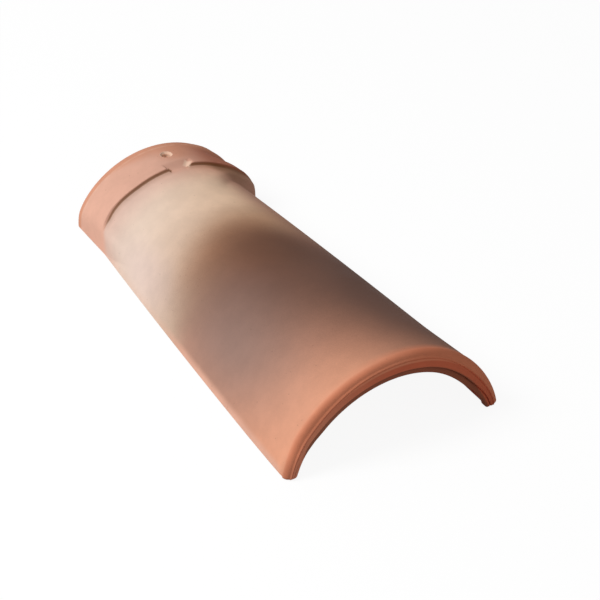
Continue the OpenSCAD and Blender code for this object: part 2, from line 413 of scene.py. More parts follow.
# Rounding between the band and its upright flanks, which aren't worked out near the crown
FLANK_BLEND = 4 * MM
FLANK_LEAST_SINE = 0.2
# Rounding where the rim meets the body, and the distance past the rim at which it is cut off
RIM_BLEND = 0.8 * MM
RIM_RUN_OUT = 60 * MM


def share_of(low, high, x):
    """Share of the way from low to high, held at both ends"""
    return np.clip((x - low) / (high - low), 0, 1)


def smooth(low, high, x):
    t = share_of(low, high, x)
    return t * t * (3 - 2 * t)


def soft_min(a, b, blend):
    return 0.5 * (a + b - np.sqrt((a - b) ** 2 + blend**2))


def step_share(axis, s, theta, run):
    """Share of the steep step in each point, with the gap in it at the crown"""
    shape = axis.shape
    steep = np.interp(run / MM, *zip(*STEEP_STEP))
    across = np.abs(axis.body_r(s) * np.sin(theta))
    climb = GAP_CLIMB * smooth(axis.crest_s - GAP_FOOT, axis.crest_s + shape.notch_climb, s)
    end_spread = np.where(theta > 0, shape.notch_spread, shape.notch_left)
    side = np.clip((across - shape.notch_width / 2) / end_spread, 0, GAP_SIDE)
    return soft_min(steep, np.maximum(climb, side), GAP_BLEND * np.minimum(1, GAP_BLEND_RATE * steep))


def ramp_share(shape, theta, run):
    """Share of the soft swell at the crown, and of the ramps in its place on the flanks"""
    turn = np.abs(theta)
    flank_run = np.where(theta > 0, shape.flank_run, shape.left_run)
    flank = np.where(theta > 0, smooth(*RIGHT_RAMP_FADE, turn), smooth(*LEFT_RAMP_FADE, turn))
    ramp_run = shape.swell_run + (flank_run - shape.swell_run) * flank
    early = (run + shape.flank_lead * smooth(*RAMP_LEAD_FADE, theta)) / ramp_run
    gentle = flank * (theta < 0)
    return np.interp(early, *zip(*SOFT_RAMP)) * (1 - gentle) + (1 - smooth(0, 1, early)) * gentle


def band_hollows(axis, s, theta):
    """Depth of the head slope and of the shallow dent in the right of the band"""
    shape = axis.shape
    right = smooth(*DENT_START_FADE, theta)
    slope = shape.head_slope_drop * (1 - DENT_SLOPE_LOSS * right)
    slope = slope * np.clip((s - axis.slope_s) / shape.head_slope_run, 0, 1)
    away = np.abs(s - axis.crest_s - shape.dent_place) / shape.dent_reach
    dent = shape.dent_depth * (1 - smooth(0, 1, away)) * right * (1 - smooth(*DENT_END_FADE, theta))
    return slope + dent


def collar_relief(axis, s, theta):
    """Height of the collar over the bowed body"""
    shape = axis.shape
    turn = np.abs(theta)
    crest = axis.crest(theta)
    back = np.maximum(s, crest)
    forward = (axis.length - back) / shape.collar_length
    growth = shape.band_spread + shape.flank_spread * smooth(*BAND_SPREAD_FADE, turn)
    full = shape.band_radius + growth * forward - axis.body_r(back) - axis.bow(back)
    fading = np.where(theta > 0, smooth(*RIGHT_STEP_FADE, turn), smooth(*LEFT_STEP_FADE, turn))
    step = shape.step_height * (1 - fading)
    run = crest - s
    height = (full - step) * ramp_share(shape, theta, run) + step * step_share(axis, s, theta, run)
    height = height - band_hollows(axis, s, theta)
    upright = shape.collar_width / 2 / np.maximum(np.sin(turn), FLANK_LEAST_SINE)
    return np.maximum(soft_min(height, upright - axis.body_r(s) - axis.bow(s), FLANK_BLEND), 0)


def rim_relief(axis, s, theta):
    """Height of the lifted tail rim over the body"""
    shape = axis.shape
    slope = (shape.rim_lift + axis.rim_r - axis.body_r(shape.rim_length)) / shape.rim_length
    rim = axis.rim_r - slope * s
    chord = np.sqrt(np.maximum(rim**2 - (shape.rim_lift * np.sin(theta)) ** 2, 0))
    over = shape.rim_lift * np.cos(theta) + chord - axis.body_r(s)
    return 0.5 * (over + np.sqrt(over**2 + RIM_BLEND**2)) * (s < shape.rim_length + RIM_RUN_OUT)


# Pressing of the plain wall

# Lengths from the tail of the stretches that hold the rounded rim and the socket
RIM_PART = 10 * MM
SOCKET_PART = 70 * MM
# Margins within which the face, the lip, the socket, the wall and the rebate take up a change
FACE_MARGIN = 2 * MM
LIP_MARGIN = 1 * MM
SOCKET_MARGIN = 1 * MM
WALL_MARGIN = 4 * MM
REBATE_MARGIN = 0.3 * MM
# Share of the rebate that is filled in the tail tips
REBATE_FILL = 0.9
# Run along the tile over which the rounding of the tail tips fades
TIP_ROUND_RUN = 12 * MM


def edge_cut(rest, radius):
    """Inward cut of a rounded edge at a distance from the bed"""
    left = np.clip(radius - rest, 0, radius)
    return radius - np.sqrt(radius**2 - left**2)


def rebate_fill(axis, s, r, turn):
    """Depth by which the rebate is filled where it runs out in the tail tips"""
    shape = axis.shape
    inside = share_of(axis.rebate_r + REBATE_MARGIN, axis.rebate_r - REBATE_MARGIN, r)
    inside = inside * share_of(shape.lip_length, shape.rebate_depth, s)
    filled = REBATE_FILL * shape.rebate_depth * inside * smooth(*REBATE_FADE, turn)
    return np.minimum(filled, np.maximum(s, 0))


def tip_reach(shape, s, theta):
    """Distance by which the tail tips reach past the crown of the tail"""
    right = shape.right_reach * smooth(*RIGHT_TIP_FADE, theta)
    left = shape.left_reach * smooth(*LEFT_TIP_FADE, -theta)
    return (right + left) * (1 - smooth(0, shape.tip_run, s))


def press(axis, points):
    """Moves the points of the plain turned wall to the pressed tile"""
    shape = axis.shape
    s, r, plain_theta = axis.read(points)
    share = plain_theta / axis.half_angle
    body_r = axis.body_r(s)
    theta = share * axis.bed_angle(s, body_r)
    turn = np.abs(theta)
    # Relief on the outer skin, and none on the lip, the socket and the arch
    tail = share_of(axis.rebate_r, axis.face_r - FACE_MARGIN, r)
    wall = share_of(body_r - shape.wall + WALL_MARGIN, body_r - WALL_MARGIN, r)
    over_socket = r > axis.socket_r + SOCKET_MARGIN
    outer = np.where(s < shape.lip_length, tail, np.where(s < SOCKET_PART, over_socket, wall))
    skin = r + outer * (collar_relief(axis, s, theta) + rim_relief(axis, s, theta)) + axis.bow(s)
    # Deeper rounding of the tail edge on the flanks
    rim = (s < RIM_PART) * np.clip((axis.tail_r - r) / shape.tail_round, 0, 1) * tail
    skin = skin - rim * shape.flank_round * smooth(*TAIL_ROUND_FADE, turn)
    # Wider opening of the lip towards the bed
    lip = (s < shape.lip_length + LIP_MARGIN) * share_of(axis.tail_r, axis.lip_r, r)
    skin = skin + lip * shape.lip_flare * smooth(*LIP_FLARE_FADE, turn)
    skin = skin + lip * shape.left_flare * smooth(*LEFT_FLARE_FADE, -theta)
    # Rounded bed edges, wider at the tail tips
    rest = skin * axis.bed_angle(s, skin) * (1 - np.abs(share))
    cut = edge_cut(rest, shape.bed_round + shape.tip_round * np.exp(-s / TIP_ROUND_RUN))
    tail_wall = share_of(axis.lip_r, body_r, r)
    skin = skin - (2 * np.where(s < SOCKET_PART, tail_wall, wall) - 1) * cut
    back = edge_cut(rest, shape.bed_round + shape.tip_round)
    back = back * np.clip(1 - s / (2 * shape.tail_round_run), 0, 1)
    along = s + back - rebate_fill(axis, s, r, turn) - tip_reach(shape, s, theta)
    return axis.place(along, skin, share * axis.bed_angle(along, skin))


# Mesh of the tile

# Columns round the tile from the crown to near a bed edge, as (angle in degrees, step up to it)
COLUMNS = ((12.0, 0.5), (44.0, 1.25), (62.0, 1.0), (67.5, 1.1), (70.5, 0.6), (72.3, 0.36), (73.0, 0.18))
LAST_COLUMN_STEP = 0.07
MERGE_DISTANCE = 1e-6
# Sides of the nail hole and length of the pin that cuts it
HOLE_SIDES = 48
PIN_LENGTH = 80 * MM
# Cone that cuts the mouth: height for each unit of width, and growth over the crown in mouth widths
MOUTH_SLOPE = 1.2
MOUTH_OVER = 2
SMOOTH_ANGLE = math.radians(32)


def turn_steps(half_degrees):
    """Angles of the columns from one bed edge to the other"""
    stops = spread(0.0, *COLUMNS, (half_degrees, LAST_COLUMN_STEP))
    return [-a for a in reversed(stops[1:])] + stops


def deselect_all():
    if bpy.context.mode != "OBJECT":
        bpy.ops.object.mode_set(mode="OBJECT")
    bpy.ops.object.select_all(action="DESELECT")


def select_only(piece):
    deselect_all()
    bpy.context.view_layer.objects.active = piece
    piece.select_set(True)


def turn_wall(axis):
    """Spins the half section about the tilted axis and caps it on both beds"""
    ring = tile_section(axis)
    angles = turn_steps(math.degrees(axis.half_angle))
    deselect_all()
    bpy.ops.mesh.primitive_circle_add(vertices=len(ring), radius=axis.tail_r, fill_type="NOTHING")
    piece = bpy.context.object
    piece.name = piece.data.name = "hip_tile_body"
    r, s = np.array(ring).T
    start = np.full(len(ring), math.radians(angles[0]))
    piece.data.vertices.foreach_set("co", axis.place(s, r, start).ravel())
    centre = Vector((0, axis.start_y, -axis.drop))
    direction = Vector((0, math.cos(axis.tilt), math.sin(axis.tilt)))
    bpy.ops.object.mode_set(mode="EDIT")
    bpy.ops.mesh.select_mode(type="EDGE")
    bpy.ops.mesh.select_all(action="SELECT")
    for before, after in zip(angles, angles[1:]):
        bpy.ops.mesh.spin(steps=1, angle=math.radians(before - after), center=centre, axis=direction)
    bpy.ops.mesh.select_all(action="SELECT")
    bpy.ops.mesh.remove_doubles(threshold=MERGE_DISTANCE)
    bpy.ops.mesh.select_all(action="DESELECT")
    bpy.ops.mesh.select_non_manifold(
        extend=False, use_wire=False, use_boundary=True, use_multi_face=False,
        use_non_contiguous=False, use_verts=False,
    )
    bpy.ops.mesh.edge_face_add()
    bpy.ops.mesh.select_all(action="SELECT")
    bpy.ops.mesh.normals_make_consistent(inside=False)
    bpy.ops.object.mode_set(mode="OBJECT")
    return piece


def mesh_points(piece):
    points = np.empty(len(piece.data.vertices) * 3)
    piece.data.vertices.foreach_get("co", points)
    return points.reshape(-1, 3)


def cut_with_last(piece, name):
    """Cuts the primitive that was added last out of the piece"""
    tool = bpy.context.object
    tool.name = name
    bpy.ops.object.transform_apply(location=True, rotation=True, scale=True)
    select_only(piece)
    cut = piece.modifiers.new(name, "BOOLEAN")
    cut.operation = "DIFFERENCE"
    cut.solver = "EXACT"
    cut.object = tool
    bpy.ops.object.modifier_apply(modifier=cut.name)
    bpy.data.objects.remove(tool, do_unlink=True)


def drill(axis, piece):
    """Nail hole with a sunk mouth through the collar at the crown"""
    shape = axis.shape
    hole_r = shape.hole_diameter / 2
    mouth_r = shape.sink_diameter / 2
    sink = mouth_r - hole_r
    # Crown of the band at the hole, where the sunk mouth has its full width
    band_r = shape.band_radius + shape.band_spread * shape.hole_inset / shape.collar_length
    crown = band_r - axis.drop + (axis.hole_y - axis.start_y) * math.sin(axis.tilt)
    deselect_all()
    bpy.ops.mesh.primitive_cylinder_add(
        vertices=HOLE_SIDES, radius=hole_r, depth=PIN_LENGTH,
        location=(0, axis.hole_y, CAD_HIGH.z - PIN_LENGTH / 2),
    )
    cut_with_last(piece, "nail_pin")
    deselect_all()
    bpy.ops.mesh.primitive_cone_add(
        vertices=HOLE_SIDES, radius1=hole_r, radius2=mouth_r + MOUTH_OVER * sink,
        depth=MOUTH_SLOPE * (1 + MOUTH_OVER) * sink,
        location=(0, axis.hole_y, crown + MOUTH_SLOPE * (MOUTH_OVER - 1) / 2 * sink),
    )
    cut_with_last(piece, "nail_mouth")


# Nodes of the finishes

# Sockets of a colour Mix node: the share, the colour under and the colour over it, and the result
MIX_SHARE, MIX_UNDER, MIX_OVER, MIX_RESULT = 0, 6, 7, 2

SprayPass = namedtuple("SprayPass", "engobe across along reach_across reach_along turn core cover")
Noise = namedtuple("Noise", "scale detail roughness")
Fade = namedtuple("Fade", "low high start end", defaults=(0.0, 1.0))

# Passes of the spray in order, placed in metres across the unrolled skin and along the tile.
# All but rose and ramp are the rounded result of another script, which fitted them to the photograph
# by least squares; shade was then moved a little by hand.
SPRAY_PASSES = (
    SprayPass("cream", -0.055, 0.064, 0.206, 0.089, 0.14, 0.58, 1.0),
    SprayPass("pale", -0.091, 0.151, 0.163, 0.260, -0.50, 0.17, 0.59),
    SprayPass("rose", -0.094, 0.072, 0.040, 0.080, 0.0, 0.1, 0.55),
    SprayPass("warm", 0.075, 0.085, 0.057, 0.260, -0.09, 0.25, 1.0),
    # Ramp paints shade on the ramp of the right flank
    SprayPass("ramp", 0.057, 0.150, 0.034, 0.015, 0.0, 0.3, 0.55),
    SprayPass("tan", -0.018, 0.018, 0.122, 0.057, 0.50, 0.15, 1.0),
    SprayPass("brown", -0.022, -0.040, 0.136, 0.157, 0.20, 0.04, 1.0),
    SprayPass("heart", 0.008, -0.004, 0.053, 0.067, 0.50, 0.19, 0.96),
    SprayPass("grey", -0.081, -0.081, 0.089, 0.150, 0.21, 0.0, 0.64),
    # Shade darkens the right flank partly as painted shade
    SprayPass("shade", 0.089, -0.096, 0.148, 0.190, -0.50, 0.35, 0.89),
)
# Painted shade: darker orange between the nail hole and the gap in the step, where the floor of the gap
# slopes away from the lamp
HOLE_SHADE = SprayPass("head_edge", 0.008, 0.175, 0.024, 0.019, 0.0, 0.2, 0.6)
# Radius at which the skin is unrolled, sway of the spray in metres and grain of its edges
UNROLL_RADIUS = 0.09
SPRAY_SWAY = 0.012
SPRAY_GRAIN = 0.08

GRAIN = Noise(900.0, 2.0, 0.6)
MOTTLE = Noise(55.0, 4.0, 0.6)
DRIFT = Noise(14.0, 2.0, 0.5)


class NodeBench:
    """Adds nodes to a material and wires them"""

    def __init__(self, tree):
        self.tree = tree

    def add(self, kind, **settings):
        node = self.tree.nodes.new("ShaderNode" + kind)
        for key, value in settings.items():
            setattr(node, key, value)
        return node

    def feed(self, socket, value):
        if isinstance(value, bpy.types.NodeSocket):
            self.tree.links.new(value, socket)
        else:
            socket.default_value = value

    def wire(self, node, values):
        """Feeds values to the sockets of a node by their names or numbers"""
        for key, value in values.items():
            self.feed(node.inputs[key], value)
        return node.outputs

    def maths(self, operation, *values):
        return self.wire(self.add("Math", operation=operation), dict(enumerate(values)))[0]

    def times(self, value, *others):
        for other in others:
            value = self.maths("MULTIPLY", value, other)
        return value

    def away(self, value, middle):
        """Distance of a value from a middle"""
        return self.maths("ABSOLUTE", self.maths("SUBTRACT", value, middle))

    def fade(self, value, low, high, start=0.0, end=1.0):
        """Soft change from start to end as the value goes from low to high"""
        node = self.add("MapRange", interpolation_type="SMOOTHSTEP")
        ends = {"From Min": low, "From Max": high, "To Min": start, "To Max": end}
        return self.wire(node, {"Value": value, **ends})["Result"]

    def mix(self, share, under, over):
        node = self.add("Mix", data_type="RGBA")
        return self.wire(node, {MIX_SHARE: share, MIX_UNDER: under, MIX_OVER: over})[MIX_RESULT]

    def noise(self, points, kind):
        values = {"Vector": points, "Scale": kind.scale, "Detail": kind.detail, "Roughness": kind.roughness}
        return self.wire(self.add("TexNoise"), values)


class ClayBench(NodeBench):
    """Nodes of the fired clay, with the place of each point on the tile and the noises that they share"""

    def __init__(self, tree, axis, finish):
        super().__init__(tree)
        self.axis = axis
        self.finish = finish
        self.points = self.add("TexCoord").outputs["Object"]
        self.x, self.y, self.z = self.wire(self.add("SeparateXYZ"), {0: self.points})
        self.beside = self.maths("ABSOLUTE", self.x)
        self.find_place()
        self.grain = self.noise(self.points, GRAIN)["Fac"]
        self.mottle = self.noise(self.points, MOTTLE)["Fac"]
        self.unroll_skin()

    def find_place(self):
        """Place along the axis, angle from the crown, depth in the wall and distance past the crest"""
        axis = self.axis
        tilt_sin = math.sin(axis.tilt)
        tilt_cos = math.cos(axis.tilt)
        run = self.maths("SUBTRACT", self.y, axis.start_y)
        lift = self.maths("ADD", self.z, axis.drop)
        self.place = self.maths("ADD", self.times(run, tilt_cos), self.times(lift, tilt_sin))
        height = self.maths("SUBTRACT", self.times(lift, tilt_cos), self.times(run, tilt_sin))
        self.angle = self.maths("ARCTAN2", self.x, height)
        self.leftward = self.times(self.angle, -1.0)
        self.turn = self.maths("ABSOLUTE", self.angle)
        square = self.maths("ADD", self.times(self.x, self.x), self.times(height, height))
        over_axis = self.maths("MULTIPLY_ADD", self.place, axis.taper, self.maths("SQRT", square))
        self.depth = self.maths("SUBTRACT", over_axis, axis.tail_r)
        lag = self.maths("DIVIDE", self.maths("SUBTRACT", self.leftward, LAG_START), LAG_SPAN)
        lag = self.maths("MINIMUM", self.maths("MAXIMUM", lag, 0.0), 1.0)
        lag = self.maths("POWER", lag, LAG_POWER)
        crest = self.maths("MULTIPLY_ADD", lag, -axis.shape.crest_lag, axis.crest_s)
        self.past_crest = self.maths("SUBTRACT", self.place, crest)

    def unroll_skin(self):
        """Place on the unrolled skin, swayed as the spray drifts"""
        across = self.maths("MULTIPLY_ADD", self.angle, UNROLL_RADIUS, -SPRAY_SWAY / 2)
        along = self.maths("ADD", self.y, -SPRAY_SWAY / 2)
        flat = self.wire(self.add("CombineXYZ"), {0: across, 1: along})[0]
        drift = self.noise(self.points, DRIFT)["Color"]
        sway = self.add("VectorMath", operation="MULTIPLY_ADD")
        self.skin = self.wire(sway, {0: drift, 1: (SPRAY_SWAY, SPRAY_SWAY, 0.0), 2: flat})[0]

    def tint(self, name):
        return (*getattr(self.finish, name), 1.0)

    def paint(self, share, under, name):
        """Puts a share of a colour of the finish over what is under it"""
        return self.mix(share, under, self.tint(name))

    def ragged(self, value, noise, size):
        """A value that a noise moves by up to half the size each way"""
        return self.maths("MULTIPLY_ADD", noise, size, self.maths("ADD", value, -size / 2))

    def spray(self, sprayed, under):
        """One soft elliptical pass of the spray over what is under it"""
        ellipse = self.wire(self.add("Mapping", vector_type="TEXTURE"), {
            "Vector": self.skin,
            "Location": (sprayed.across, sprayed.along, 0.0),
            "Rotation": (0.0, 0.0, sprayed.turn),
            "Scale": (sprayed.reach_across, sprayed.reach_along, 1.0),
        })[0]
        away = self.wire(self.add("VectorMath", operation="LENGTH"), {0: ellipse})["Value"]
        share = self.fade(self.ragged(away, self.grain, SPRAY_GRAIN), sprayed.core, 1.0, sprayed.cover, 0.0)
        return self.paint(share, under, sprayed.engobe)


# Finishes of the outer skin, with lengths in metres and angles to the right of the crown in radians

# Start and end of the edge of the bare band past the crest, and how far the soft edge moves them
BAND_EDGE = (-1.6 * MM, -0.6 * MM)
SOFT_BAND_EDGE = (-9 * MM, 1 * MM)
BAND_GAP = Fade(6 * MM, 11 * MM, 1.0, 0.0)
BAND_FLANK = Fade(0.93, 1.14)
# Redder band on the right, partly painted shade
BAND_RED_AND_SHADE = Fade(0.0, 0.5)
# Orange head edge, measured from the start of the head slope, with a start that moves with the angle
HEAD_EDGE_TURN = (-0.7, -0.1)
HEAD_EDGE_LEFT = -1 * MM
HEAD_EDGE_RIGHT = -17 * MM
HEAD_EDGE_END = 3 * MM
HEAD_EDGE_COVER = 0.75
HEAD_EDGE_RAGGED = 5 * MM
# Painted highlight along the start of the head slope, broken by the mottle
RIDGE_HIGHLIGHT = Fade(0.3 * MM, 2.0 * MM, 0.25, 0.0)
RIDGE_HIGHLIGHT_BREAKS = Fade(0.35, 0.6)

# Redder rim on its rounded edge and on the right, partly painted shade
RIM_ROUNDING = Fade(2.5 * MM, 10 * MM, 0.85, 0.0)
RIM_RED_AND_SHADE = Fade(-0.7, 0.3)
BARE_RIM = Fade(-198 * MM, -185 * MM, 1.0, 0.0)
# Painted shade on the left tip of the tail, where its rounded edge turns away from the lamp, by height, by
# distance from the tail and by angle to the left
TIP_SHADE_HEIGHT = Fade(4 * MM, 26 * MM, 0.4, 0.0)
TIP_SHADE_LENGTH = Fade(3 * MM, 15 * MM, 1.0, 0.0)
TIP_SHADE_LEFT = Fade(0.0, 0.5)
# Bare strip along the bed, by height and fainter towards the head
BED_HEIGHT = Fade(1.8 * MM, 9.0 * MM, 1.0, 0.0)
BED_LENGTH = Fade(-50 * MM, 40 * MM, 1.0, 0.15)

# Painted shade along the foot of the step: its dark line, its soft shade ahead, and where it ends
LINE = Fade(-2.4 * MM, -1.5 * MM, 0.0, 0.75)
LINE_SHADE = Fade(-8 * MM, -1.5 * MM, 0.0, 0.22)
LINE_CREST = Fade(-0.9 * MM, -0.4 * MM, 1.0, 0.0)
LINE_FLANKS = Fade(0.88, 1.04, 1.0, 0.0)
LINE_RIGHT = Fade(0.40, 0.75, 1.0, 0.35)
LINE_GAP = Fade(7.5 * MM, 9.5 * MM)

# Painted highlight at the right end of the gap and painted shadow at its left end
GAP_HIGHLIGHT_X = 10.5 * MM
GAP_HIGHLIGHT_PAST_CREST = 2 * MM
GAP_HIGHLIGHT_REACH = Fade(3.0 * MM, 6 * MM, 0.8, 0.0)
GAP_SHADOW_X = -8.2 * MM
GAP_SHADOW_STRETCH = 0.7
GAP_SHADOW_REACH = Fade(1.2 * MM, 3.2 * MM, 0.75, 0.0)


def collar_band(bench, under):
    """Bare collar band, with soft edges at the gap and on the flanks, an orange head edge, painted shade by
    the nail hole and a painted highlight along the start of the head slope
    """
    slope = bench.axis.slope_s
    band = bench.paint(bench.fade(bench.angle, *BAND_RED_AND_SHADE), bench.tint("band_pink"), "band_red_and_shade")
    edge_start = bench.fade(bench.angle, *HEAD_EDGE_TURN, slope + HEAD_EDGE_LEFT, slope + HEAD_EDGE_RIGHT)
    ragged = bench.ragged(bench.place, bench.mottle, HEAD_EDGE_RAGGED)
    head_share = bench.fade(ragged, edge_start, slope + HEAD_EDGE_END, 0.0, HEAD_EDGE_COVER)
    band = bench.paint(head_share, band, "head_edge")
    band = bench.spray(HOLE_SHADE, band)
    ridge_highlight = bench.fade(bench.away(bench.place, slope), *RIDGE_HIGHLIGHT)
    ridge_highlight = bench.times(ridge_highlight, bench.fade(bench.mottle, *RIDGE_HIGHLIGHT_BREAKS))
    band = bench.paint(ridge_highlight, band, "painted_highlight")
    soft = bench.maths("MAXIMUM", bench.fade(bench.beside, *BAND_GAP), bench.fade(bench.turn, *BAND_FLANK))
    edge = [bench.maths("MULTIPLY_ADD", soft, *values) for values in zip(SOFT_BAND_EDGE, BAND_EDGE)]
    return bench.mix(bench.fade(bench.past_crest, *edge), under, band)


def tail_rim(bench, under):
    """Bare tail rim, redder on the right and on its rounded edge, partly as painted shade, with painted
    shade on the left tip
    """
    shape = bench.axis.shape
    right_tip = bench.fade(bench.angle, *RIGHT_TIP_FADE, 0.0, shape.right_reach)
    left_tip = bench.fade(bench.leftward, *LEFT_TIP_FADE, 0.0, shape.left_reach)
    from_tail = bench.maths("ADD", bench.maths("ADD", bench.place, right_tip), left_tip)
    red = bench.maths("MAXIMUM", bench.fade(bench.angle, *RIM_RED_AND_SHADE), bench.fade(from_tail, *RIM_ROUNDING))
    rim = bench.paint(red, bench.tint("dry_bloom"), "rim_red_and_shade")
    tip_shade = bench.times(bench.fade(bench.z, *TIP_SHADE_HEIGHT), bench.fade(from_tail, *TIP_SHADE_LENGTH))
    tip_shade = bench.times(tip_shade, bench.fade(bench.leftward, *TIP_SHADE_LEFT))
    rim = bench.paint(tip_shade, rim, "lip_brown")
    return bench.mix(bench.fade(bench.y, *BARE_RIM), under, rim)


def step_line(bench, under):
    """Painted shade along the foot of the step: a dark line, with a soft shade ahead of it"""
    line = bench.maths(
        "MAXIMUM", bench.fade(bench.past_crest, *LINE), bench.fade(bench.past_crest, *LINE_SHADE)
    )
    line = bench.times(
        line,
        bench.fade(bench.turn, *LINE_FLANKS),
        bench.fade(bench.angle, *LINE_RIGHT),
        bench.fade(bench.beside, *LINE_GAP),
        bench.fade(bench.past_crest, *LINE_CREST),
    )
    return bench.paint(line, under, "step_and_gap_shade")


def gap_ends(bench, under):
    """Painted highlight on the right end of the gap and a painted shadow at its left end"""
    painted_highlight = bench.maths("ADD", bench.away(bench.x, GAP_HIGHLIGHT_X), bench.away(bench.past_crest, GAP_HIGHLIGHT_PAST_CREST))
    outer = bench.paint(bench.fade(painted_highlight, *GAP_HIGHLIGHT_REACH), under, "painted_highlight")
    # Painted shadow at the left end of the gap
    along = bench.times(bench.maths("ABSOLUTE", bench.past_crest), GAP_SHADOW_STRETCH)
    dark = bench.maths("ADD", bench.away(bench.x, GAP_SHADOW_X), along)
    return bench.paint(bench.fade(dark, *GAP_SHADOW_REACH), outer, "step_and_gap_shade")


def outer_skin(bench):
    """Engobes over the dry clay, the bare bed edges, rim and band, and painted shade and highlights at the
    step and the gap
    """
    outer = bench.tint("dry_bloom")
    for sprayed in SPRAY_PASSES:
        outer = bench.spray(sprayed, outer)
    bare_bed = bench.times(bench.fade(bench.z, *BED_HEIGHT), bench.fade(bench.y, *BED_LENGTH))
    outer = bench.paint(bare_bed, outer, "bed_edge")
    for finish in (tail_rim, collar_band, step_line, gap_ends):
        outer = finish(bench, outer)
    return outer


# Finishes of the faces and the arch, and the surface of the clay

# Outer skin by its depth in the wall, and the head face by its distance from the head
SKIN_DEPTH = Fade(-4.5 * MM, -2.5 * MM)
HEAD_FACE = (-2.0 * MM, -0.5 * MM)
FACE_DRY = Fade(-1.0, 0.1, 0.5, 0.0)
LIP_DEPTH = Fade(-11 * MM, -9.5 * MM, 1.0, 0.0)
LIP_PLACE = Fade(8 * MM, 14 * MM, 0.8, 0.0)
# Painted shade in the groove at the step of the rebate: its width, its place from the tail and its fade on
# the flanks
GROOVE_SHADE_WIDTH = Fade(0.3 * MM, 1.3 * MM, 0.55, 0.0)
GROOVE_SHADE_PLACE = Fade(4 * MM, 6 * MM, 1.0, 0.0)
GROOVE_SHADE_FLANKS = Fade(0.85, 1.05, 1.0, 0.0)
# Painted highlight in the mouth of the nail hole, from within to without its edge
HOLE_HIGHLIGHT_EDGE = (-0.3 * MM, 0.4 * MM)
HOLE_HIGHLIGHT_COVER = 0.85

MOTTLE_TONE = Fade(0.25, 0.75, 0.95, 1.05)
MOTTLE_ROUGHNESS = Fade(0.2, 0.8, 0.72, 0.88)
# Dark grog: scale of its grains, size of a speck, and the noise and level that pick the grains
GROG_SCALE = 190.0
GROG_SPECK = Fade(0.07, 0.13, 0.28, 0.0)
GROG_PICK = Noise(60.0, 1.0, 0.5)
GROG_LEVEL = 0.56
SPECULAR_LEVEL = 0.1
# Shares of the mottle and the grain in the pressed surface, and its strength and height
BUMP_MOTTLE = 0.6
BUMP_GRAIN = 0.25
BUMP_STRENGTH = 0.35
BUMP_HEIGHT = 0.4 * MM


def faces_and_arch(bench):
    """Raw clay, drier on the left of the tail face, with a dark lip and painted shade in the groove"""
    shape = bench.axis.shape
    face = bench.paint(bench.fade(bench.angle, *FACE_DRY), bench.tint("raw_clay"), "dry_bloom")
    in_lip = bench.times(bench.fade(bench.depth, *LIP_DEPTH), bench.fade(bench.place, *LIP_PLACE))
    face = bench.paint(in_lip, face, "lip_brown")
    groove = bench.times(
        bench.fade(bench.away(bench.depth, shape.rebate_width - shape.lip_wall), *GROOVE_SHADE_WIDTH),
        bench.fade(bench.place, *GROOVE_SHADE_PLACE),
        bench.fade(bench.turn, *GROOVE_SHADE_FLANKS),
    )
    return bench.paint(groove, face, "heart")


def nail_hole(bench, under):
    """Pale clay painted in the nail hole and its mouth as a highlight"""
    from_hole = bench.maths("SUBTRACT", bench.y, bench.axis.hole_y)
    square = bench.maths("MULTIPLY_ADD", bench.x, bench.x, bench.times(from_hole, from_hole))
    start, end = (bench.axis.shape.sink_diameter / 2 + edge for edge in HOLE_HIGHLIGHT_EDGE)
    share = bench.fade(bench.maths("SQRT", square), start, end, HOLE_HIGHLIGHT_COVER, 0.0)
    return bench.paint(share, under, "painted_highlight")


def grog(bench, under):
    """Mottled tone and fine dark grog"""
    value = bench.fade(bench.mottle, *MOTTLE_TONE)
    tone = bench.wire(bench.add("HueSaturation"), {"Value": value, "Color": under})[0]
    grains = bench.add("TexVoronoi", feature="F1")
    distance = bench.wire(grains, {"Vector": bench.points, "Scale": GROG_SCALE})["Distance"]
    picked = bench.maths("GREATER_THAN", bench.noise(bench.points, GROG_PICK)["Fac"], GROG_LEVEL)
    return bench.paint(bench.times(bench.fade(distance, *GROG_SPECK), picked), tone, "heart")


def pressed_grain(bench):
    """Fine bumps of the pressed clay"""
    relief = bench.maths("MULTIPLY_ADD", bench.mottle, BUMP_MOTTLE, bench.times(bench.grain, BUMP_GRAIN))
    values = {"Strength": BUMP_STRENGTH, "Distance": BUMP_HEIGHT, "Height": relief}
    return bench.wire(bench.add("Bump"), values)[0]


def fired_clay(axis, finish):
    """Matt clay with bare band, bed edges and tail, and soft passes of engobe over the outer skin"""
    material = bpy.data.materials.new("fired_clay")
    material.use_nodes = True
    bench = ClayBench(material.node_tree, axis, finish)
    head_face = bench.fade(bench.place, *(axis.length + edge for edge in HEAD_FACE))
    on_skin = bench.maths("MAXIMUM", bench.fade(bench.depth, *SKIN_DEPTH), head_face)
    clay = bench.mix(on_skin, faces_and_arch(bench), outer_skin(bench))
    bench.wire(material.node_tree.nodes["Principled BSDF"], {
        "Base Color": grog(bench, nail_hole(bench, clay)),
        "Roughness": bench.fade(bench.mottle, *MOTTLE_ROUGHNESS),
        "Specular IOR Level": SPECULAR_LEVEL,
        "Normal": pressed_grain(bench),
    })
    return material


class HIPTILE_OT_tile(bpy.types.Operator):
    """Press the hip tile, drill its nail hole and give it the fired clay finish"""

    bl_idname = "hip_tile.tile"
    bl_label = "Hip tile"

    def execute(self, context):
        axis = TileAxis(context.scene.hip_tile_shape)
        piece = turn_wall(axis)
        piece.data.vertices.foreach_set("co", press(axis, mesh_points(piece)).ravel())
        piece.data.update()
        drill(axis, piece)
        select_only(piece)
        bpy.ops.object.shade_smooth_by_angle(angle=SMOOTH_ANGLE)
        piece.data.materials.append(fired_clay(axis, context.scene.hip_tile_finish))
        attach(piece, "root")
        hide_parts(TILE_NODE)
        return {"FINISHED"}


# Studio

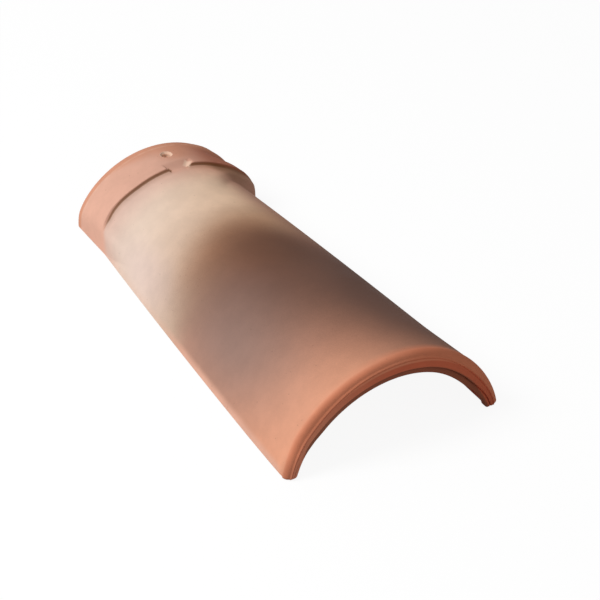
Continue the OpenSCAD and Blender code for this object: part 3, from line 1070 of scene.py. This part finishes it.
SENSOR_WIDTH = 36.0
CLIP_START, CLIP_END = 0.05, 50.0
FLOOR_SIZE = 12.0


def grey(level):
    return (level, level, level, 1.0)


def seen_directly(bench):
    """One for rays from the camera, also by way of a reflection or through glass"""
    path = bench.add("LightPath").outputs
    mirrored = bench.maths("MAXIMUM", path["Is Glossy Ray"], path["Is Transmission Ray"])
    return bench.maths("MAXIMUM", path["Is Camera Ray"], mirrored)


def show_by_ray(bench, output, lighting, seen):
    """Ends the nodes in one shader that lights the tile and another that the camera sees"""
    shown = bench.wire(bench.add("MixShader"), {0: seen_directly(bench), 1: lighting, 2: seen})[0]
    bench.wire(bench.add(output), {"Surface": shown})


def empty_bench(owner):
    owner.use_nodes = True
    owner.node_tree.nodes.clear()
    return NodeBench(owner.node_tree)


def floor_material(stage):
    """Pale floor, white to the camera but for the soft shadow of the tile"""
    material = bpy.data.materials.new("studio_floor")
    bench = empty_bench(material)
    glow = bench.wire(bench.add("Emission"), {"Strength": stage.floor_glow})[0]
    catch = bench.wire(bench.add("BsdfDiffuse"), {"Color": grey(stage.floor_catch)})[0]
    lit = bench.wire(bench.add("AddShader"), {0: glow, 1: catch})[0]
    plain = bench.wire(bench.add("BsdfDiffuse"), {"Color": grey(stage.floor_grey)})[0]
    show_by_ray(bench, "OutputMaterial", plain, lit)
    return material


def studio_air(stage):
    """Soft even light from all round, white where the camera sees it"""
    world = bpy.data.worlds.new("studio_air")
    bench = empty_bench(world)
    fill = bench.wire(bench.add("Background"), {"Color": grey(1.0), "Strength": stage.air_light})[0]
    white = bench.wire(bench.add("Background"), {"Color": grey(1.0)})[0]
    show_by_ray(bench, "OutputWorld", fill, white)
    return world


def add_camera(stage):
    """Camera at the stage's angles, turned about its line of sight by the roll"""
    az, el, roll = stage.azimuth, stage.elevation, stage.roll
    back = Vector((-math.sin(az) * math.cos(el), -math.cos(az) * math.cos(el), math.sin(el)))
    side = (-back).cross(Vector((0, 0, 1))).normalized()
    up = side.cross(-back)
    turned_side = math.cos(roll) * side + math.sin(roll) * up
    turned_up = -math.sin(roll) * side + math.cos(roll) * up
    place = Matrix((turned_side, turned_up, back)).transposed().to_4x4()
    place.translation = Vector(stage.aim) + back * stage.distance
    deselect_all()
    bpy.ops.object.camera_add()
    camera = bpy.context.object
    camera.name = "studio_camera"
    camera.data.lens = stage.focal_length
    camera.data.sensor_width = SENSOR_WIDTH
    camera.data.clip_start = CLIP_START
    camera.data.clip_end = CLIP_END
    camera.matrix_world = place
    return camera


def add_floor(stage):
    deselect_all()
    bpy.ops.mesh.primitive_plane_add(size=FLOOR_SIZE)
    floor = bpy.context.object
    floor.name = "studio_floor"
    floor.data.materials.append(floor_material(stage))


def add_lamp(stage):
    place = Vector(stage.lamp_place)
    deselect_all()
    bpy.ops.object.light_add(type="AREA", location=place)
    lamp = bpy.context.object
    lamp.name = "key_lamp"
    lamp.data.shape = "DISK"
    lamp.data.size = stage.lamp_size
    lamp.data.energy = stage.lamp_power
    lamp.rotation_mode = "QUATERNION"
    lamp.rotation_quaternion = (-place).to_track_quat("-Z", "Y")


class HIPTILE_OT_stage(bpy.types.Operator):
    """Set the camera, the pale floor, the soft lamp and the air"""

    bl_idname = "hip_tile.stage"
    bl_label = "Studio"

    def execute(self, context):
        scene = context.scene
        stage = scene.hip_tile_stage
        scene.camera = add_camera(stage)
        add_floor(stage)
        add_lamp(stage)
        scene.world = studio_air(stage)
        scene.view_settings.view_transform = "Standard"
        return {"FINISHED"}


class HIPTILE_PT_panel(bpy.types.Panel):
    """Makers and sizes of the hip tile"""

    bl_idname = "HIPTILE_PT_panel"
    bl_label = "Hip tile"
    bl_space_type = "VIEW_3D"
    bl_region_type = "UI"
    bl_category = "Hip tile"

    def draw(self, context):
        layout = self.layout
        layout.operator(HIPTILE_OT_tile.bl_idname)
        layout.operator(HIPTILE_OT_stage.bl_idname)
        for name in GROUPS:
            group = getattr(context.scene, name)
            box = layout.box()
            for key in group.__annotations__:
                box.prop(group, key)


GROUPS = {"hip_tile_shape": HipTileShape, "hip_tile_finish": HipTileFinish, "hip_tile_stage": HipTileStage}
CLASSES = (*GROUPS.values(), HIPTILE_OT_tile, HIPTILE_OT_stage, HIPTILE_PT_panel)


def register():
    for cls in CLASSES:
        bpy.utils.register_class(cls)
    for name, group in GROUPS.items():
        setattr(bpy.types.Scene, name, bpy.props.PointerProperty(type=group))


def unregister():
    for name in GROUPS:
        delattr(bpy.types.Scene, name)
    for cls in reversed(CLASSES):
        bpy.utils.unregister_class(cls)


def main():
    register()
    bpy.ops.hip_tile.tile()
    bpy.ops.hip_tile.stage()


if __name__ == "__main__":
    main()
